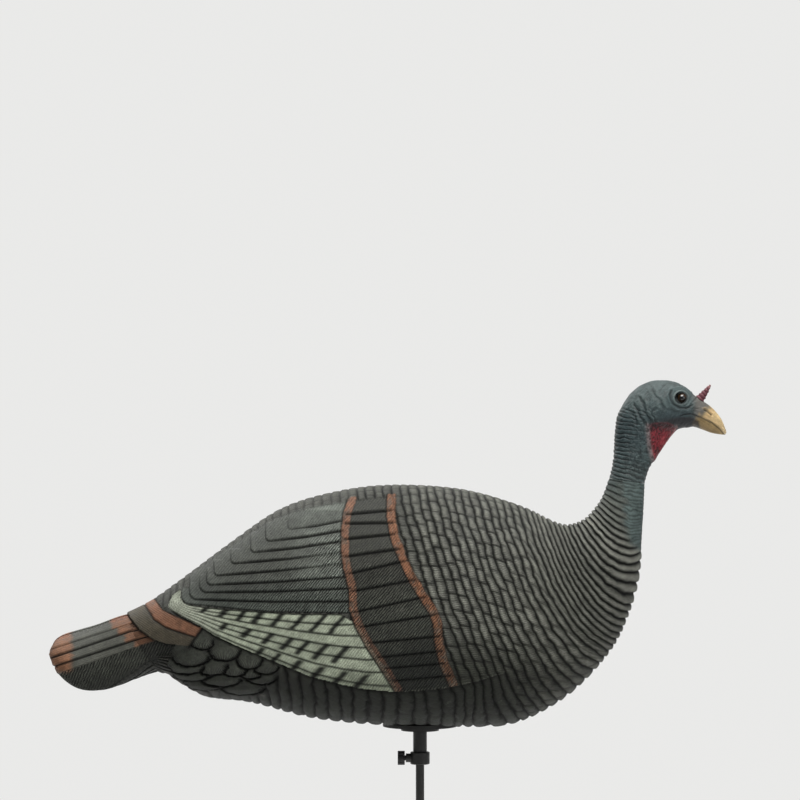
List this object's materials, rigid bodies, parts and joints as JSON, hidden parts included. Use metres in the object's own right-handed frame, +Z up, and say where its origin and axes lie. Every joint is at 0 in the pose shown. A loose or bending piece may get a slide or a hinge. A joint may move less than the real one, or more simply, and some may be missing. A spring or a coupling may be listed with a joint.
{
  "type": "turkey decoy",
  "caption": "Full-body hen turkey decoy: hollow moulded body with separate tail and turning head, on a sectional steel ground stake with a clamped stop collar it swivels on.",
  "frame": {"origin": "on the stake's axis at ground level, at the shoulder above the ground spike", "axes": "+Z up along the stake, +X towards the beak, +Y to the bird's left"},
  "size_m": [0.7592, 0.2212, 0.8269],
  "materials": {
    "body_paint": "matt painted moulded plastic, feather pattern in grey-brown, rust, white and black",
    "head_paint": "matt painted moulded plastic, blue-grey skin, red throat, tan beak",
    "eye_glass": "polished dark brown",
    "snood_soft": "soft flocked rubber",
    "plate_plastic": "satin black moulded plastic",
    "nylon": "natural nylon",
    "stake_steel": "black powder coat, worn at the spike",
    "collar_paint": "black powder coat",
    "knob_plastic": "ribbed black plastic",
    "zinc": "zinc plated",
    "spring_steel": "spring steel",
    "o_rubber": "black rubber"
  },
  "bodies": {
    "stake": {"stake_upper_rod": "stake_steel", "stake_lower_rod": "stake_steel", "stake_ferrule": "zinc", "ferrule_pins": "spring_steel", "foot_step": "stake_steel"},
    "collar": {"stop_collar": "collar_paint", "stop_peg": "spring_steel"},
    "pad": {"clamp_pad": "nylon"},
    "screw": {"clamp_screw": "knob_plastic"},
    "washer": {"thrust_washer": "nylon"},
    "decoy": {"body_shell_right": "body_paint", "body_shell_left": "body_paint", "belly_plate": "plate_plastic", "belly_plate_screws": "zinc", "swivel_bush": "nylon", "stake_guide_tube": "plate_plastic", "guide_saddle": "plate_plastic", "tail_fan": "body_paint", "tail_backing_plate": "plate_plastic", "tail_screws": "zinc", "neck_socket": "plate_plastic"},
    "head": {"head_shell": "head_paint", "neck_plug": "plate_plastic", "neck_snap_ring": "spring_steel", "neck_friction_ring": "o_rubber", "eye_right": "eye_glass", "eye_left": "eye_glass", "snood": "snood_soft"}
  },
  "joints": [
    {"name": "collar_height", "type": "slide", "parent": "stake", "child": "collar", "axis": [0, 0, 1], "range_m": [-0.1, 0.1]},
    {"name": "clamp_pad_slide", "type": "slide", "parent": "collar", "child": "pad", "axis": [-1, 0, 0], "range_m": [0, 0.0012]},
    {"name": "clamp_screw_turn", "type": "hinge", "parent": "pad", "child": "screw", "pos_m": [-0.012, 0, 0.222], "axis": [-1, 0, 0], "range_deg": [0, 540]},
    {"name": "body_swivel", "type": "hinge", "parent": "collar", "child": "washer", "pos_m": [0, 0, 0.258], "axis": [0, 0, 1], "range_deg": [-35, 35]},
    {"name": "lift_off", "type": "slide", "parent": "washer", "child": "decoy", "axis": [0, 0, 1], "range_m": [0, 0.16]},
    {"name": "head_turn", "type": "hinge", "parent": "decoy", "child": "head", "pos_m": [0.2338, 0, 0.53485], "axis": [0.1418, 0, 0.9899], "range_deg": [-90, 90]}
  ],
  "couplings": [
    {"joint": "clamp_screw_turn", "follows": "clamp_pad_slide", "rad_per_m": 7854}
  ]
}
